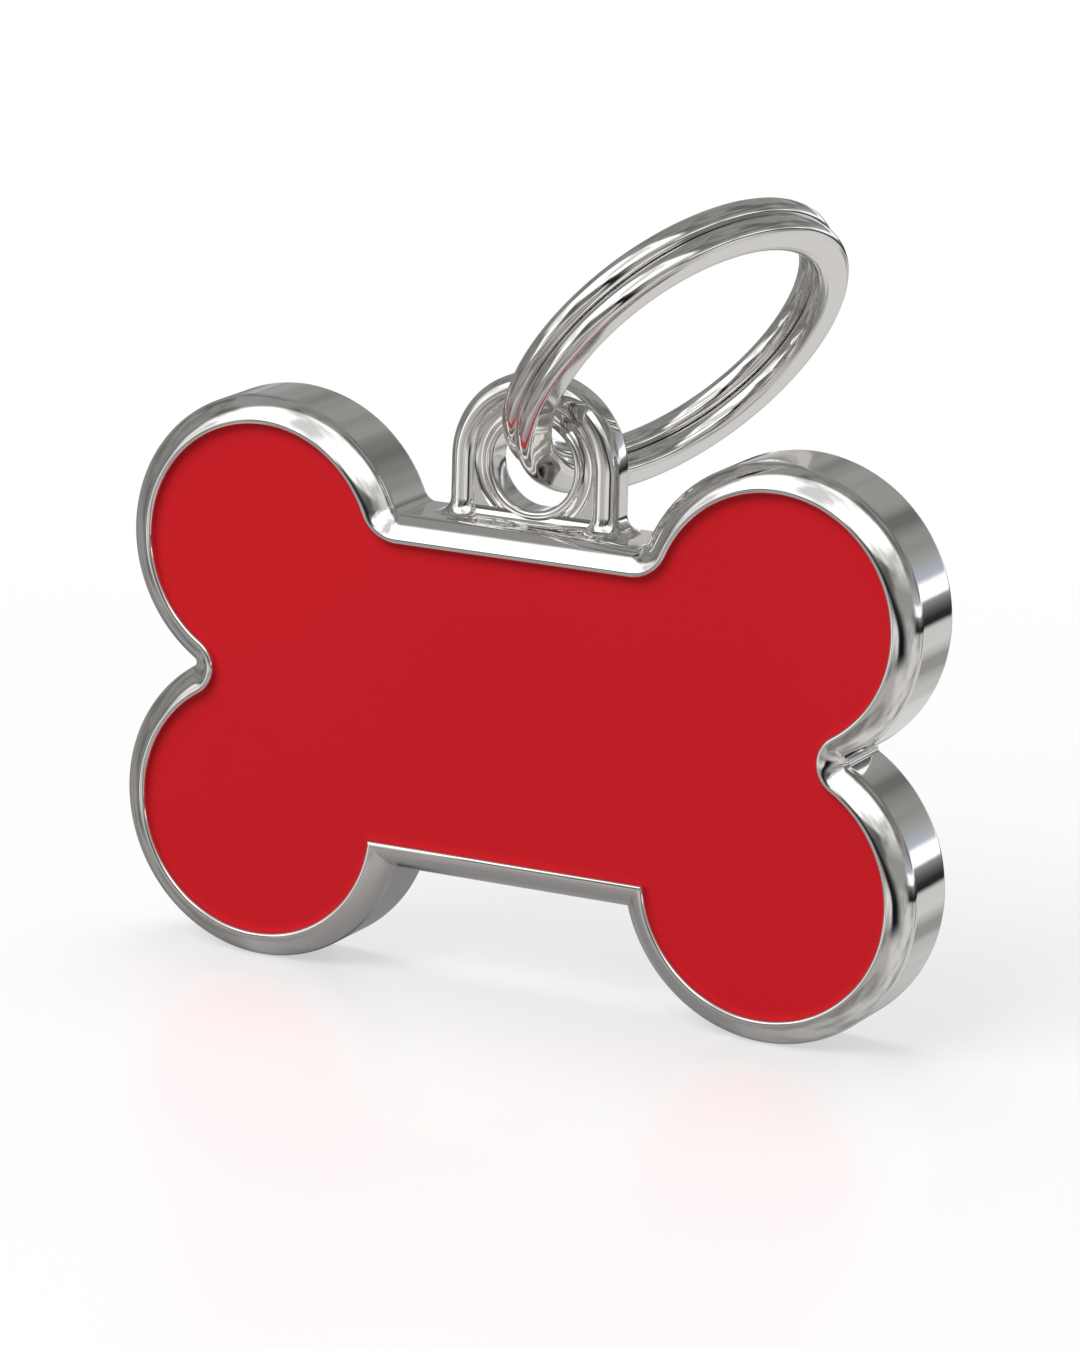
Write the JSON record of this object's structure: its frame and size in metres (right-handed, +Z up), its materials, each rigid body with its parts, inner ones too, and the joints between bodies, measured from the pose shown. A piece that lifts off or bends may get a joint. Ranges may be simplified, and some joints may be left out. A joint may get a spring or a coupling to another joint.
{
  "type": "pet id tag",
  "caption": "Bone-shaped pet id tag: plated cast body with a raised rim and lug, red enamel fill in its front, and a split ring that swings in the lug.",
  "frame": {"origin": "on the ground under the middle of the tag's width and of the object's depth, which is the middle of the split ring; the two lower lobes of the bone stand on z = 0", "axes": "+X to the right along the bone's length as seen from the front, +Z up from the lower lobes to the lug, the enamelled front faces -Y"},
  "size_m": [0.038, 0.0162, 0.0355],
  "materials": {
    "plated_casting": "bright nickel-chrome plating, mirror smooth",
    "enamel": "opaque red enamel, level, satin to gloss",
    "spring_wire": "plated spring steel wire, mirror smooth"
  },
  "bodies": {
    "tag": {"tag_body": "plated_casting", "enamel_fill": "enamel"},
    "ring": {"split_ring": "spring_wire"}
  },
  "joints": [
    {"name": "ring_swing", "type": "hinge", "parent": "tag", "child": "ring", "pos_m": [0, -0.00248, 0.02325], "axis": [0, 1, 0], "range_deg": [-109, 37]}
  ]
}
